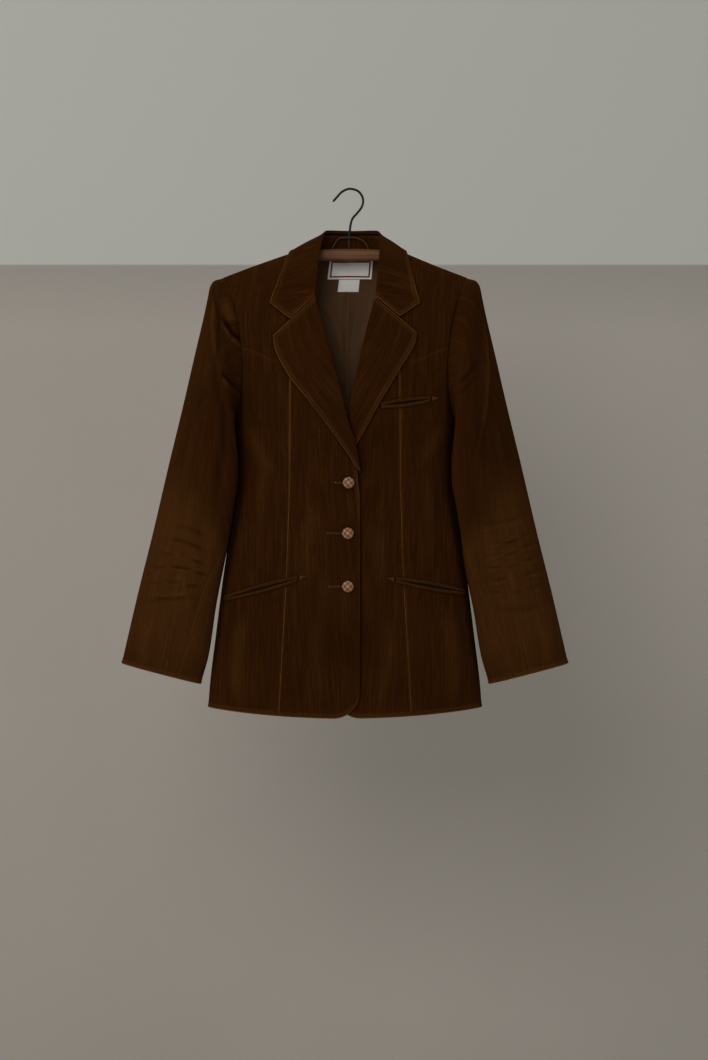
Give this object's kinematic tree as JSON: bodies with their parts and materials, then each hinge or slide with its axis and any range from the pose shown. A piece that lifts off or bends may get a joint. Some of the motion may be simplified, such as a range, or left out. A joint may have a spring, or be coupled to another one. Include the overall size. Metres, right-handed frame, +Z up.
{
  "type": "corduroy jacket on a wooden hanger",
  "caption": "Hip-length corduroy jacket with notched lapels, a breast pocket and slanted hip pockets, buttoned and hung on a wooden hanger with a wire hook.",
  "frame": {"origin": "the inside top of the hanger's hook, where it rests on a rail or nail", "axes": "+Z up, -Y towards the front of the jacket, +X to the wearer's left side"},
  "size_m": [0.6668, 0.1187, 0.7874],
  "materials": {
    "corduroy": "ribbed cotton corduroy, brown, matt with a soft nap, worn paler at the edges",
    "lining": "thin smooth lining, olive brown, with a low sheen",
    "label": "off-white woven ribbon",
    "woven_leather": "tan leather strips, plaited over a dome",
    "cord": "brown corded loop",
    "wood": "satin varnished beech, stained brown",
    "wire": "dark blackened steel wire"
  },
  "bodies": {
    "root": {"front_yoke_right": "corduroy", "front_yoke_left": "corduroy", "front_centre_right": "corduroy", "front_centre_left": "corduroy", "front_side_right": "corduroy", "front_side_left": "corduroy", "back_right": "corduroy", "back_left": "corduroy", "top_sleeve_right": "corduroy", "top_sleeve_left": "corduroy", "under_sleeve_right": "corduroy", "under_sleeve_left": "corduroy", "lapel_right": "corduroy", "lapel_left": "corduroy", "collar_leaf": "corduroy", "collar_stand": "corduroy", "breast_pocket_upper_jet": "corduroy", "breast_pocket_lower_jet": "corduroy", "hip_pocket_right_upper_jet": "corduroy", "hip_pocket_right_lower_jet": "corduroy", "hip_pocket_left_upper_jet": "corduroy", "hip_pocket_left_lower_jet": "corduroy", "lining_back_right": "lining", "lining_back_left": "lining", "neck_label": "label", "care_label": "label", "hanging_loop": "cord", "button_upper": "woven_leather", "button_middle": "woven_leather", "button_lower": "woven_leather", "hanger_bar": "wood", "hanger_hook": "wire"}
  },
  "joints": []
}
